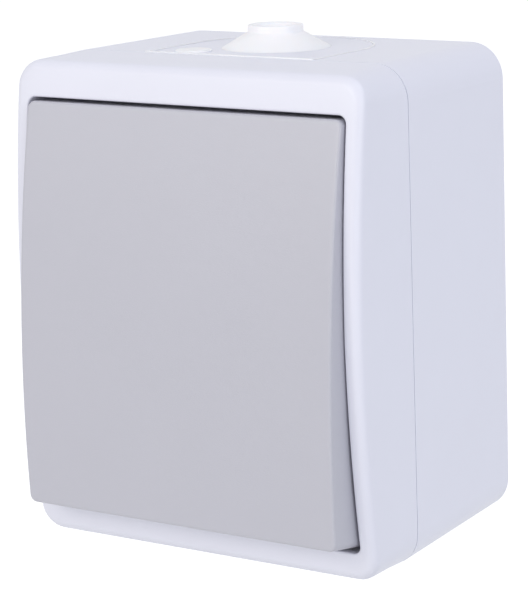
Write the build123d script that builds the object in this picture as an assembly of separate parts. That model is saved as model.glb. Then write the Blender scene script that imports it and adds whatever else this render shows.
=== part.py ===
"""A splash proof light switch for surface mounting, with one large rocker.

The origin is the centre of the rear face, which lies on the wall. +Z is up, +X is to the right of
somebody who looks at the switch, and the wall is at +Y. Places are given as a height (z), a sideways
place (x) and a depth, which is the distance out from the wall, so y is minus the depth.
The rocker stands as it does at rest, pressed in at the top.
"""
import os
from math import radians, sin, tan

from build123d import *

# Case
case_width = 64.0            # at the joint between base and cover
case_height = 78.0
case_corner = 5.5            # corner radius seen from the front
base_depth = 31.0            # wall to the joint
cover_rise = 15.3            # joint to the middle of the cover's curved front
front_radius = 243.0         # the front face is part of a drum that lies level
base_draft = 1.1             # degrees
cover_side_draft = 1.3
cover_end_draft = 5.8
base_wall = 2.0
rear_wall = 2.5
joint_gap = 0.15             # shadow line between base and cover
front_edge_round = 1.7
core_wall = 1.6              # wall left round the cores behind the wide bands
core_cover = 5.5
lip_round = 0.5

# Joint between base and cover, a tongue that presses on a gasket
tongue_inset = 1.1
tongue_thickness = 0.8
tongue_height = 1.5
gasket_thickness = 0.9

# Rocker and the well it moves in
side_rim = 2.95              # case's widest outline to the opening, beside it
end_rim = 5.8                # the same above and below it
opening_corner = 2.2
well_floor_rise = 5.5        # joint to the floor's front
well_floor_thickness = 2.0
rocker_side_gap = 0.55
rocker_end_gap = 1.6
rocker_corner = 1.5
hinge_rise = 3.0             # well floor to the hinge
rocker_reach = 10.1          # hinge to the middle of the face
skirt_reach = 0.9            # hinge to the skirt's rear edge
rocker_radius = 235.0
rocker_wall = 1.8
rocker_edge_round = 0.5
rocker_tilt = 4.54           # degrees each way from level
rocker_rib = 0.9
rocker_rib_height = 4.5
rocker_rib_offset = 15.0

# Wall screws
wall_screw_spacing = 60.0
wall_screw_hole = 4.5
wall_screw_collar = 9.0
wall_screw_collar_height = 1.5
rear_pocket_depth = 0.8

# Cover screws, two of them on a diagonal
cover_boss = 7.2
boss_side_gap = 5.4          # inner side wall to the boss
boss_end_gap = 4.9
cover_screw_shank = 3.0
cover_screw_head = 5.6
cover_screw_head_height = 1.8
cover_screw_length = 14.0
cover_cup_wall = 1.0
cover_cup_floor = 1.5

# Cable entry
gland_depth = 17.0           # wall to the axis of the nipple
plate_radius = 15.6
plate_rise = 0.05            # top of the case at the joint to the plate's flat top
plate_thickness = 2.05
plate_clearance = 0.09
cone_foot = 17.4
cone_head = 9.7
cone_height = 1.95
nipple_diameter = 8.9
nipple_height = 1.4
soft_edge_round = 0.3
cable_hole = 6.2
cable_hole_depth = 4.4
membrane = 0.7
gland_pit = 12.0             # hollow under the membrane
seal_layer = 0.65            # soft layer under the plate
seal_flange = 0.8
flange_overhang = 1.4
seal_lip = 0.6               # soft lip at the plate's front edge
lip_height = 1.25
lip_rise = 0.2               # lip above the plate
pip_diameter = 5.8
pip_height = 0.3
pip_x = -9.0
pip_depth = 27.0
rail_wall = 1.2
rail_lip = 1.1

# Mechanism
side_room = 10.0             # inner side wall to the mechanism
end_room = 15.0              # inner end wall to the mechanism
insert_back = 8.0            # wall to its rear
insert_wall = 1.8
insert_corner = 2.0
bridge_thickness = 2.2
bridge_gap = 2.3             # bridge to the well floor
hook_z = 13.2                # four hooks hold the bridge on the pan's side walls
hook_width = 4.0
hook_thickness = 1.0
hook_reach = 5.0             # bridge's rear to the hooks' ends
barb = 0.8
barb_height = 1.2
lug_gap = 1.0                # lug to the inner side wall
lug_height = 9.0
lug_depth = 12.0
lug_thickness = 2.5
lug_hole_reach = 5.0         # pan's side to the screw
insert_boss = 7.2
insert_screw_shank = 3.2
insert_screw_head = 6.0
insert_screw_length = 8.0
screw_clearance = 0.1
ear_gap = 14.0               # between the two ears that hold the toggle
ear_thickness = 2.6
ear_width = 6.4
ear_rise = 0.8               # ear above the trunnion
snap_share = 0.84            # mouth of the bearing to the trunnion
nose_room = 1.0              # round the nose in the bridge
trunnion = 3.0
pivot_clearance = 0.05
chamber_width = 10.0
chamber_wall = 1.2
chamber_length = 25.0
chamber_rise = 3.0           # chamber's walls above the see-saw

# Toggle, plunger and spring
hub_width = 13.2
hub_height = 5.6
toggle_plate_width = 19.0
toggle_plate_height = 15.0
toggle_plate_reach = 3.4     # hinge to the plate
toggle_plate_thickness = 1.1
toggle_plate_corner = 1.5
nose_diameter = 5.2
nose_reach = 12.3            # hinge to the nose's end
plunger_diameter = 2.5
plunger_clearance = 0.08
plunger_reach = 15.4         # hinge to the tip
plunger_back_reach = 6.0     # hinge to the plunger's front end
plunger_play = 0.1           # tip to the see-saw
plunger_tail = 1.1
plunger_tail_length = 2.0
spring_seat = 1.5            # hinge to the spring's outer end
spring_wire = 0.35
spring_turns = 7
spring_facets = 6            # the wire's section is drawn as a polygon
peg_x = 5.5
peg_z = 4.5
peg_diameter = 2.4
peg_length = 3.0
socket_wall = 1.0

# Seal behind the rocker
skin = 0.8
seal_foot_width = 26.4
seal_foot_height = 24.4
seal_head_width = 22.0
seal_head_height = 18.0
seal_flange_width = 2.3
seal_corner = 3.0

# Contacts
strip = 1.0                  # thickness of the brass strips
strip_width = 5.0
seesaw_length = 23.6
seesaw_tilt = 7.0            # degrees each way
cradle_gap = 0.05
blade_bevel = 1.2            # the cradle's blade narrows over this height
blade_edge = 0.1
strip_end_gap = 0.4          # a strip's end to the pan's wall
wing_height = 1.8
wing_width = 4.0
wing_thickness = 0.6
seesaw_corner = 1.2
contact_z = 10.0
contact_diameter = 3.2
contact_height = 0.8
contact_gap = 0.08
rivet_shank = 1.8
rivet_clearance = 0.02
foot_rise = 1.2              # pan's floor to the cradle's foot

# Screw terminals
end_cage_gap = 0.1           # upper and lower cage to the pan's wall
side_cage_gap = 1.4          # common cage to the pan's wall
cage_width = 7.4
cage_length = 6.6
cage_wall = 0.8
cage_room = 6.4              # inner depth of a cage
cage_slack = 0.4             # from the cage's rear wall to the strip
wire_room = 2.9
clamp_thickness = 1.0
terminal_shank = 3.4
terminal_head = 6.0
terminal_head_height = 1.8
access_clearance = 0.3
wire_hole = 4.4

# Allowances
cut_over = 1.0               # how far a cut runs past the face that it opens
root = 0.5                   # how far a rib or boss reaches into what carries it
slip = 0.1                   # clearance of pieces that are pushed together
close_fit = 0.05
bond = 0.02                  # gap between a soft piece and the hard one that it is moulded to

# What follows from the sizes above
cover_crest = base_depth + cover_rise
well_floor_depth = base_depth + well_floor_rise
opening_width = case_width - 2 * side_rim
opening_height = case_height - 2 * end_rim
rocker_width = opening_width - 2 * rocker_side_gap
rocker_height = opening_height - 2 * rocker_end_gap
hinge_depth = well_floor_depth + hinge_rise
rocker_crest = hinge_depth + rocker_reach
rocker_skirt_depth = hinge_depth + skirt_reach
cover_screw_x = case_width / 2 - base_wall - cover_boss / 2 - boss_side_gap
cover_screw_z = case_height / 2 - base_wall - cover_boss / 2 - boss_end_gap
plate_level = case_height / 2 + plate_rise
insert_width = case_width - 2 * (base_wall + side_room)
insert_height = case_height - 2 * (base_wall + end_room)
insert_front = well_floor_depth - well_floor_thickness - bridge_gap - bridge_thickness
insert_screw_x = insert_width / 2 + lug_hole_reach
lug_reach = side_room - lug_gap
toggle_plate_depth = hinge_depth + toggle_plate_reach
nose_end_depth = hinge_depth - nose_reach
plunger_tip_depth = hinge_depth - plunger_reach
plunger_back_depth = hinge_depth - plunger_back_reach
spring_end_depth = hinge_depth + spring_seat
seesaw_depth = plunger_tip_depth - plunger_play - strip
foot_depth = insert_back + insert_wall + foot_rise
hook_depth = insert_front - hook_reach
clamp_z = insert_height / 2 - insert_wall - cage_length / 2 - end_cage_gap
clamp_x = insert_width / 2 - insert_wall - cage_length / 2 - side_cage_gap


def tilt_offset(length, angle):
    """How far a point turns aside that lies this far from the pivot."""
    return length * sin(radians(angle))


def at(depth):
    """The plane parallel to the wall at this depth, which draws x and z and looks to the front."""
    return Plane.XZ.offset(depth)


def slab(outline, depth_from, depth_to, x=0.0, z=0.0):
    """An outline in x and z, drawn out from one depth to another."""
    return extrude(at(depth_from) * Pos(x, z) * outline, depth_to - depth_from)


def rod(diameter, depth_from, depth_to, x=0.0, z=0.0):
    """A round bar that stands out from the wall."""
    return slab(Circle(diameter / 2), depth_from, depth_to, x, z)


def brick(x_from, x_to, z_from, z_to, depth_from, depth_to):
    """A square cut block between two corners."""
    outline = Rectangle(x_to - x_from, z_to - z_from)
    return slab(outline, depth_from, depth_to, (x_from + x_to) / 2, (z_from + z_to) / 2)


def level_bar(diameter, x_from, x_to, depth, z=0.0):
    """A round bar that lies along x."""
    return extrude(Plane.YZ.offset(x_from) * Pos(-depth, z) * Circle(diameter / 2), x_to - x_from)


def upright_bar(diameter, z_from, z_to, depth, x=0.0):
    """A round bar that stands along z."""
    return extrude(Plane.XY.offset(z_from) * Pos(x, -depth) * Circle(diameter / 2), z_to - z_from)


def drum(radius, crest):
    """A long drum that lies along x, with its front at this depth."""
    return Pos(0, radius - crest, 0) * Rot(0, 90, 0) * Cylinder(radius, 4 * case_width)


def case_size(depth):
    """Outer width and height of the case at this depth."""
    if depth <= base_depth:
        shrink = (base_depth - depth) * tan(radians(base_draft))
        return case_width - 2 * shrink, case_height - 2 * shrink
    side = (depth - base_depth) * tan(radians(cover_side_draft))
    end = (depth - base_depth) * tan(radians(cover_end_draft))
    return case_width - 2 * side, case_height - 2 * end


def inner_corner(inset):
    """The corner radius of an outline that lies this far inside the case's."""
    return max(case_corner - inset, 1.0)


def case_block(depth_from, depth_to, inset=0.0):
    """The case's outer form between two depths, or the form that lies this far inside it."""
    length = depth_to - depth_from
    near_width, near_height = [size - 2 * inset for size in case_size(depth_from)]
    far_width, far_height = [size - 2 * inset for size in case_size(depth_to)]
    left = (near_width - far_width) / 2
    bottom = (near_height - far_height) / 2
    block = Wedge(near_width, length, near_height, left, bottom, left + far_width, bottom + far_height)
    block = Pos(0, -(depth_from + depth_to) / 2, 0) * Rot(0, 0, 180) * block
    corners = block.edges().filter_by(lambda edge: abs((edge @ 1).Y - (edge @ 0).Y) > length / 2)
    return fillet(corners, inner_corner(inset))


def joint_outline(inset):
    """The case's outline at the joint between base and cover, this far inside it."""
    return RectangleRounded(case_width - 2 * inset, case_height - 2 * inset, inner_corner(inset))


def screw(diameter, head_diameter, head_height, seat_depth, length, x, z):
    """A slotted screw whose head rests on a seat and whose shank goes in towards the wall."""
    shank = rod(diameter, seat_depth - length, seat_depth, x, z)
    head = rod(head_diameter, seat_depth, seat_depth + head_height, x, z)
    head = fillet(head.edges().sort_by(Axis.Y)[0], head_height / 4)
    slot_width = head_diameter / 6
    slot = brick(x - head_diameter, x + head_diameter, z - slot_width / 2, z + slot_width / 2,
                 seat_depth + head_height / 2, seat_depth + 2 * head_height)
    return shank + head - slot


def turned(shape):
    """The rocker's parts are drawn level and then turned to the rest position, in at the top."""
    return shape.rotate(Axis((0, -hinge_depth, 0), (1, 0, 0)), -rocker_tilt)


hook_places = [(side * insert_width / 2, z) for side in (-1, 1) for z in (-hook_z, hook_z)]
cover_screw_places = [(-cover_screw_x, cover_screw_z), (cover_screw_x, -cover_screw_z)]
insert_screw_places = [(-insert_screw_x, 0.0), (insert_screw_x, 0.0)]
wall_screw_places = [(0.0, wall_screw_spacing / 2), (0.0, -wall_screw_spacing / 2)]
cover_screw_seat = well_floor_depth - cover_screw_head_height - lip_round
cover_boss_top = cover_screw_seat - cover_cup_floor - joint_gap
plate_underside = plate_level - plate_thickness
seal_underside = plate_underside - seal_layer
contact_drop = tilt_offset(contact_z + contact_diameter / 3, seesaw_tilt)
strip_back = seesaw_depth - 2 * contact_height - contact_drop - contact_gap - strip
cage_back = strip_back - cage_slack - cage_wall
cage_front = cage_back + 2 * cage_wall + cage_room
clamp_back = strip_back + strip + wire_room


def entry_outline(radius, front_depth):
    """The D shape of the cable entry, seen from above: straight sides to the front, round behind."""
    length = front_depth - gland_depth
    straight = Pos(0, -(gland_depth + length / 2)) * Rectangle(2 * radius, length)
    round_end = Pos(0, -gland_depth) * Circle(radius)
    round_end -= Pos(0, -(gland_depth + radius)) * Rectangle(2 * radius, 2 * radius)
    return straight + round_end


def entry_slab(radius, front_depth, z_from, z_to):
    """The cable entry's D shape between two heights."""
    return extrude(Plane.XY.offset(z_from) * entry_outline(radius, front_depth), z_to - z_from)


def base_housing():
    """The half of the case that is screwed to the wall."""
    body = case_block(0.0, base_depth)
    tongue_inside = joint_outline(tongue_inset + tongue_thickness)
    body += slab(joint_outline(tongue_inset), base_depth - tongue_height, base_depth + tongue_height)
    room_width, room_height = [size - 2 * base_wall for size in case_size(rear_wall)]
    room = RectangleRounded(room_width, room_height, inner_corner(base_wall))
    body -= slab(room, rear_wall, base_depth)
    body -= slab(tongue_inside, base_depth - tongue_height / 2, base_depth + 2 * tongue_height)

    # Pockets behind leave a land down the middle, on the screw holes, and round the edge
    rear_width, rear_height = case_size(0.0)
    pocket_from = wall_screw_collar / 2 + base_wall
    pocket_to = rear_width / 2 - 2 * base_wall
    for side in (-1, 1):
        pocket = RectangleRounded(pocket_to - pocket_from, rear_height - 6 * base_wall, base_wall)
        body -= slab(pocket, 0.0, rear_pocket_depth, side * (pocket_from + pocket_to) / 2)

    for x, z in wall_screw_places:
        body += rod(wall_screw_collar, rear_wall / 2, rear_wall + wall_screw_collar_height, x, z)
        body -= rod(wall_screw_hole, -cut_over, rear_wall + 2 * wall_screw_collar_height, x, z)

    # Bosses for the cover screws, each with a rib to the nearer side wall
    for x, z in cover_screw_places:
        wall_side = (case_width / 2 - base_wall) * (1 if x > 0 else -1)
        rib_from = min(x, wall_side)
        rib_to = max(x, wall_side)
        body += rod(cover_boss, rear_wall / 2, cover_boss_top, x, z)
        body += brick(rib_from, rib_to, z - rail_wall / 2, z + rail_wall / 2,
                      rear_wall / 2, base_depth - tongue_height)
        body -= rod(cover_screw_shank + screw_clearance, cover_screw_seat - cover_screw_length - cut_over,
                    cover_boss_top + cut_over, x, z)

    # Bosses for the mechanism's screws
    for x, z in insert_screw_places:
        body += rod(insert_boss, rear_wall / 2, lug_depth, x, z)
        body -= rod(insert_screw_shank + screw_clearance, rear_wall, lug_depth + cut_over, x, z)

    # The top wall is open to the front for the cable entry's plate, with a rail on each side
    rail_top = room_height / 2 + root
    rail_inside = plate_radius + flange_overhang + plate_clearance
    rail_outside = rail_inside + rail_wall
    rail_floor = seal_underside - seal_flange - plate_clearance
    rail_end = base_depth - root
    rail = brick(rail_inside, rail_outside, rail_floor - rail_lip, rail_top, rear_wall / 2, rail_end)
    rail += brick(plate_radius, rail_outside, rail_floor - rail_lip, rail_floor, rear_wall / 2, rail_end)
    body += rail
    body += mirror(rail, Plane.YZ)
    body -= entry_slab(plate_radius + plate_clearance, base_depth + 2 * tongue_height,
                       seal_underside - plate_clearance / 3, case_height)
    return body


def cover_frame():
    """The front half of the case, with the well that the rocker moves in."""
    rear = base_depth + joint_gap
    body = case_block(rear, cover_crest + cut_over) & drum(front_radius, cover_crest)
    body = fillet(body.faces().sort_by(Axis.Y)[0].edges(), front_edge_round)

    body -= slab(RectangleRounded(opening_width, opening_height, opening_corner),
                 well_floor_depth, cover_crest + cut_over)
    front = body.faces().sort_by(Axis.Y)[0]
    body = fillet(front.inner_wires()[0].edges(), lip_round)

    # Room behind the floor, wider at the rear where the tongue and the gasket go in
    floor_back = well_floor_depth - well_floor_thickness
    ledge = base_depth + tongue_height + gasket_thickness
    body -= slab(joint_outline(tongue_inset - joint_gap / 2), rear - cut_over, ledge)
    body -= case_block(rear, floor_back, base_wall)

    # Cores behind the wide bands above and below the opening
    core_front = cover_crest - core_cover
    core_from = opening_height / 2 + core_wall
    core_to = case_size(core_front)[1] / 2 - core_wall
    core_side = opening_width / 2 - 2 * base_wall
    core = brick(-core_side, core_side, core_from, core_to, floor_back - cut_over, core_front)
    body -= core
    body -= mirror(core, Plane.XY)

    # Window for the toggle, and cups for the two screws
    window = RectangleRounded(seal_foot_width - 2 * skin, seal_foot_height - 2 * skin, seal_corner - skin)
    body -= slab(window, floor_back - cut_over, well_floor_depth + cut_over)
    cup = cover_screw_head + 2 * screw_clearance
    cup_outside = cup + 2 * cover_cup_wall
    for x, z in cover_screw_places:
        body += rod(cup_outside, cover_screw_seat - cover_cup_floor, well_floor_depth - root, x, z)
        body -= rod(cup, cover_screw_seat, well_floor_depth + cut_over, x, z)
        body -= rod(cover_screw_shank + 4 * screw_clearance, base_depth, well_floor_depth, x, z)
    return body


def case_gasket():
    """The soft ring that the base's tongue presses into the cover."""
    tongue_end = base_depth + tongue_height
    return slab(joint_outline(tongue_inset) - joint_outline(tongue_inset + tongue_thickness), tongue_end,
                tongue_end + gasket_thickness)


def gland_plate():
    """The hard plate that slides into the base's top wall."""
    front = base_depth - seal_lip
    plate = entry_slab(plate_radius, front, plate_underside, plate_level)
    tongue_top = case_height / 2 - tongue_inset
    tongue_reach = plate_radius - base_wall
    plate += brick(-tongue_reach, tongue_reach, plate_underside, tongue_top, front - root,
                   base_depth + tongue_height)
    for diameter, depth, x in ((cone_foot, gland_depth, 0.0), (pip_diameter, pip_depth, pip_x)):
        plate -= upright_bar(diameter + 2 * close_fit, plate_underside - cut_over, plate_level + cut_over,
                             depth, x)
    return plate


def cable_gland():
    """The soft white entry: a layer under the plate with the cone, the nipple, the lip and a pip."""
    flange_underside = seal_underside - seal_flange
    flange = entry_slab(plate_radius + flange_overhang, base_depth - slip, flange_underside, seal_underside)
    flange -= brick(-case_width, case_width, 0, case_height, -case_height, rear_wall + plate_clearance)
    layer = entry_slab(plate_radius, base_depth, seal_underside, plate_underside - bond)
    layer_gap = plate_radius - base_wall + plate_clearance
    lip_rear = base_depth - seal_lip + bond
    layer -= brick(-layer_gap, layer_gap, 0, case_height, lip_rear - slip, base_depth + cut_over)

    # The lip at the seam, with a leg at each end that joins it to the layer
    lip_top = plate_level + lip_rise
    lip_front = base_depth + joint_gap / 3
    lip = brick(-plate_radius, plate_radius, lip_top - lip_height, lip_top, lip_rear, lip_front)
    leg = brick(layer_gap, plate_radius, seal_underside, lip_top, lip_rear, lip_front)
    lip += leg
    lip += mirror(leg, Plane.YZ)

    foot = upright_bar(cone_foot, flange_underside, plate_level, gland_depth)
    cone_top = plate_level + cone_height
    cone = loft([Plane.XY.offset(plate_level) * Pos(0, -gland_depth) * Circle(cone_foot / 2),
                 Plane.XY.offset(cone_top) * Pos(0, -gland_depth) * Circle(cone_head / 2)])
    nipple_top = cone_top + nipple_height
    nipple = upright_bar(nipple_diameter, cone_top - root, nipple_top, gland_depth)
    nipple = fillet(nipple.edges().sort_by(Axis.Z)[-1], soft_edge_round)
    pip = upright_bar(pip_diameter, seal_underside, plate_level + pip_height, pip_depth, pip_x)
    pip = fillet(pip.edges().sort_by(Axis.Z)[-1], soft_edge_round)

    gland = flange + layer + lip + foot + cone + nipple + pip
    hole_bottom = nipple_top - cable_hole_depth
    gland -= upright_bar(cable_hole, hole_bottom, nipple_top + cut_over, gland_depth)
    gland -= upright_bar(gland_pit, flange_underside - cut_over, hole_bottom - membrane, gland_depth)
    return gland


def cover_screws():
    """The two screws under the rocker."""
    return [screw(cover_screw_shank, cover_screw_head, cover_screw_head_height, cover_screw_seat,
                  cover_screw_length, x, z) for x, z in cover_screw_places]


def rocker():
    """The key: a shallow cap with a curved face, drawn level."""
    blank = slab(RectangleRounded(rocker_width, rocker_height, rocker_corner), rocker_skirt_depth,
                 rocker_crest + cut_over)
    key = blank & drum(rocker_radius, rocker_crest)
    key = fillet(key.faces().sort_by(Axis.Y)[0].edges(), rocker_edge_round)
    hollow = slab(RectangleRounded(rocker_width - 2 * rocker_wall, rocker_height - 2 * rocker_wall,
                                   rocker_corner / 2), rocker_skirt_depth - cut_over, rocker_crest)
    hollow = hollow & drum(rocker_radius - rocker_wall, rocker_crest - rocker_wall)
    key -= hollow

    # Ribs and sockets behind the face
    under_face = rocker_crest - rocker_wall
    rib_half = rocker_height / 2 - 2 * rocker_wall
    for x in (-rocker_rib_offset, rocker_rib_offset):
        rib = brick(x - rocker_rib / 2, x + rocker_rib / 2, -rib_half, rib_half,
                    under_face - rocker_rib_height, rocker_crest)
        key += rib & drum(rocker_radius - rocker_wall / 2, rocker_crest - rocker_wall / 2)
    socket_end = toggle_plate_depth + toggle_plate_thickness + skin
    for x in (-peg_x, peg_x):
        for z in (-peg_z, peg_z):
            key += rod(peg_diameter + 2 * socket_wall, socket_end, under_face + root, x, z)
            key -= rod(peg_diameter + 2 * close_fit, socket_end - cut_over, under_face, x, z)
    return turned(key)


def toggle():
    """The inner lever: hub with trunnions, nose for the plunger, plate with pegs for the rocker."""
    hub = brick(-hub_width / 2, hub_width / 2, -hub_height / 2, hub_height / 2, hinge_depth,
                toggle_plate_depth + slip)
    hub += level_bar(hub_height, -hub_width / 2, hub_width / 2, hinge_depth)
    reach = ear_gap / 2 + ear_thickness - 2 * slip
    hub += level_bar(trunnion, -reach, reach, hinge_depth)
    plate = slab(RectangleRounded(toggle_plate_width, toggle_plate_height, toggle_plate_corner),
                 toggle_plate_depth, toggle_plate_depth + toggle_plate_thickness)
    lever = hub + plate + rod(nose_diameter, nose_end_depth, toggle_plate_depth)
    for x in (-peg_x, peg_x):
        for z in (-peg_z, peg_z):
            lever += rod(peg_diameter, toggle_plate_depth, toggle_plate_depth + peg_length, x, z)
    lever -= rod(plunger_diameter + 2 * plunger_clearance, nose_end_depth - cut_over, spring_end_depth)
    return turned(lever)


def plunger():
    """The pin in the nose, with a round tip that tips the see-saw."""
    radius = plunger_diameter / 2
    pin = rod(plunger_diameter, plunger_tip_depth + radius, plunger_back_depth)
    pin += Pos(0, -(plunger_tip_depth + radius), 0) * Sphere(radius)
    pin += rod(plunger_tail, plunger_back_depth, plunger_back_depth + plunger_tail_length)
    return turned(pin)


def plunger_spring():
    """The coil spring between the plunger and the end of the bore."""
    length = spring_end_depth - plunger_back_depth - spring_wire
    coil_radius = plunger_diameter / 2 - spring_wire / 2
    line = Helix(length / spring_turns, length, coil_radius)
    section = Plane(line @ 0, z_dir=line % 0) * RegularPolygon(spring_wire / 2, spring_facets)
    coil = sweep(section, path=line, is_frenet=True)
    coil = Pos(0, -(plunger_back_depth + spring_wire / 2), 0) * Rot(90, 0, 0) * coil
    return turned(coil)


def rocker_seal():
    """The soft hat that keeps water off the mechanism and bends with the toggle."""
    head_depth = toggle_plate_depth + toggle_plate_thickness

    def hat(inset, head):
        corner = seal_corner - inset
        foot_outline = RectangleRounded(seal_foot_width - 2 * inset, seal_foot_height - 2 * inset, corner)
        head_outline = RectangleRounded(seal_head_width - 2 * inset, seal_head_height - 2 * inset, corner)
        return loft([at(well_floor_depth) * foot_outline, turned(at(head) * head_outline)])

    brim = slab(RectangleRounded(seal_foot_width + 2 * seal_flange_width,
                                 seal_foot_height + 2 * seal_flange_width, seal_corner + skin),
                well_floor_depth, well_floor_depth + skin)
    seal = hat(0.0, head_depth + skin) + brim - hat(skin, head_depth)
    hole_end = head_depth + skin + cut_over
    for x in (-peg_x, peg_x):
        for z in (-peg_z, peg_z):
            seal -= turned(rod(peg_diameter + 2 * close_fit, head_depth - cut_over, hole_end, x, z))
    return seal


def insert_body():
    """The mechanism's moulded pan."""
    body = slab(RectangleRounded(insert_width, insert_height, insert_corner), insert_back, insert_front)
    floor_depth = insert_back + insert_wall
    inner_half_width = insert_width / 2 - insert_wall
    inside = RectangleRounded(2 * inner_half_width, insert_height - 2 * insert_wall, insert_corner / 2)
    body -= slab(inside, floor_depth, insert_front + cut_over)

    # Four feet that stand on the case's rear wall
    foot_x = insert_width / 2 - 3 * insert_wall
    foot_z = insert_height / 2 - 3 * insert_wall
    for x in (-foot_x, foot_x):
        for z in (-foot_z, foot_z):
            body += rod(2 * insert_wall, rear_wall, insert_back + root, x, z)

    # Walls beside the contacts, and blocks that carry the strips and the cages
    chamber_half = chamber_width / 2
    wall = brick(chamber_half, chamber_half + chamber_wall, -chamber_length / 2, chamber_length / 2,
                 floor_depth - root, seesaw_depth + chamber_rise)
    body += wall
    body += mirror(wall, Plane.YZ)
    gate = strip_width / 2 + 2 * slip
    body -= brick(chamber_half - root, chamber_half + chamber_wall + root, -gate, gate, floor_depth,
                  foot_depth + strip + 2 * slip)
    cage_near = clamp_z - cage_length / 2
    inner_end = insert_height / 2 - insert_wall
    shelf_from = contact_z - contact_diameter
    for side in (-1, 1):
        for z_from, z_to, top in ((shelf_from, cage_near - 2 * slip, strip_back),
                                  (cage_near - 3 * slip, inner_end + root, cage_back)):
            low, high = sorted((side * z_from, side * z_to))
            body += brick(-cage_width / 2, cage_width / 2, low, high, floor_depth - root, top)
    body += brick(clamp_x - cage_length / 2, inner_half_width + root, -cage_width / 2, cage_width / 2,
                  floor_depth - root, cage_back)

    # Wire holes opposite the three clamps
    wire_depth = strip_back + strip + wire_room / 2
    for side in (-1, 1):
        low, high = sorted((side * (inner_end - root), side * (inner_end + 2 * insert_wall)))
        body -= upright_bar(wire_hole, low, high, wire_depth)
    body -= level_bar(wire_hole, inner_half_width - root, insert_width / 2 + cut_over, wire_depth)

    # Lugs for the screws, and windows for the bridge's hooks
    for x, z in insert_screw_places:
        side = 1 if x > 0 else -1
        low, high = sorted((side * (insert_width / 2 - root), side * (insert_width / 2 + lug_reach)))
        body += brick(low, high, -lug_height / 2, lug_height / 2, lug_depth, lug_depth + lug_thickness)
        body -= rod(insert_screw_shank + 4 * screw_clearance, lug_depth - cut_over,
                    lug_depth + lug_thickness + cut_over, x, z)
    half_window = hook_width / 2 + 2 * slip
    for x, z in hook_places:
        body -= brick(x - 2 * insert_wall, x + 2 * insert_wall, z - half_window, z + half_window,
                      hook_depth - 2 * slip, hook_depth + barb_height + 2 * slip)
    return body


def insert_cover():
    """The bridge that closes the pan and holds the toggle between two ears."""
    front = insert_front + bridge_thickness
    bridge = slab(RectangleRounded(insert_width, insert_height, insert_corner), insert_front, front)
    swing = tilt_offset(hinge_depth - insert_front, rocker_tilt)
    window_width = nose_diameter + 2 * nose_room
    window = RectangleRounded(window_width, window_width + 2 * swing, nose_room)
    bridge -= slab(window, insert_front - cut_over, front + cut_over)
    access = terminal_head + 2 * access_clearance
    for x, z in ((0.0, clamp_z), (0.0, -clamp_z), (clamp_x, 0.0)):
        bridge -= rod(access, insert_front - cut_over, front + cut_over, x, z)

    # Ears with a snap-in bearing each, whose mouth is a little narrower than the trunnion
    bearing = trunnion + 2 * pivot_clearance
    mouth = trunnion * snap_share / 2
    ear_top = hinge_depth + trunnion / 2 + ear_rise
    ear_outside = ear_gap / 2 + ear_thickness
    ear = brick(ear_gap / 2, ear_outside, -ear_width / 2, ear_width / 2, front - root, ear_top)
    ear -= level_bar(bearing, 0.0, ear_gap, hinge_depth)
    ear -= brick(0.0, ear_gap, -mouth, mouth, hinge_depth, ear_top + cut_over)
    bridge += ear
    bridge += mirror(ear, Plane.YZ)

    # Hooks that reach back over the pan's side walls
    for x, z in hook_places:
        side = 1 if x > 0 else -1
        inner_x = x + side * close_fit
        outer_x = inner_x + side * hook_thickness
        low_z = z - hook_width / 2
        high_z = z + hook_width / 2
        for from_x, depth_from, depth_to in ((inner_x, hook_depth, front - slip),
                                             (x - side * barb, hook_depth, hook_depth + barb_height),
                                             (x - side * root, insert_front + slip, front - slip)):
            bridge += brick(*sorted((from_x, outer_x)), low_z, high_z, depth_from, depth_to)
    return bridge


def insert_screws():
    """The two screws that hold the mechanism on the base."""
    return [screw(insert_screw_shank, insert_screw_head, cover_screw_head_height, lug_depth + lug_thickness,
                  insert_screw_length, x, z) for x, z in insert_screw_places]


def seesaw_turned(shape):
    """The see-saw's parts are drawn level and then turned to their rest, closed at the lower end."""
    return shape.rotate(Axis((0, -seesaw_depth, 0), (1, 0, 0)), seesaw_tilt)


def contact_rocker():
    """The see-saw strip with two wings that straddle its cradle."""
    front = seesaw_depth + strip
    bar = slab(RectangleRounded(strip_width, seesaw_length, seesaw_corner), seesaw_depth, front)
    wing_from = strip_width / 2 + 2 * slip
    wing_to = wing_from + wing_thickness
    wing = brick(wing_from, wing_to, -wing_width / 2, wing_width / 2, seesaw_depth - wing_height, front)
    wing += brick(strip_width / 2 - root, wing_to, -wing_width / 2, wing_width / 2, seesaw_depth, front)
    bar += wing
    bar += mirror(wing, Plane.YZ)
    for z in (-contact_z, contact_z):
        bar -= rod(rivet_shank + 2 * rivet_clearance, seesaw_depth - cut_over, front + cut_over, 0.0, z)
    return seesaw_turned(bar)


def moving_contacts():
    """The silver rivets at the see-saw's ends."""
    rivets = []
    for z in (-contact_z, contact_z):
        rivet = rod(contact_diameter, seesaw_depth - contact_height, seesaw_depth, 0.0, z)
        rivet = fillet(rivet.edges().sort_by(Axis.Y)[-1], contact_height / 3)
        rivet += rod(rivet_shank, seesaw_depth, seesaw_depth + strip, 0.0, z)
        rivets.append(seesaw_turned(rivet))
    return rivets


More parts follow.
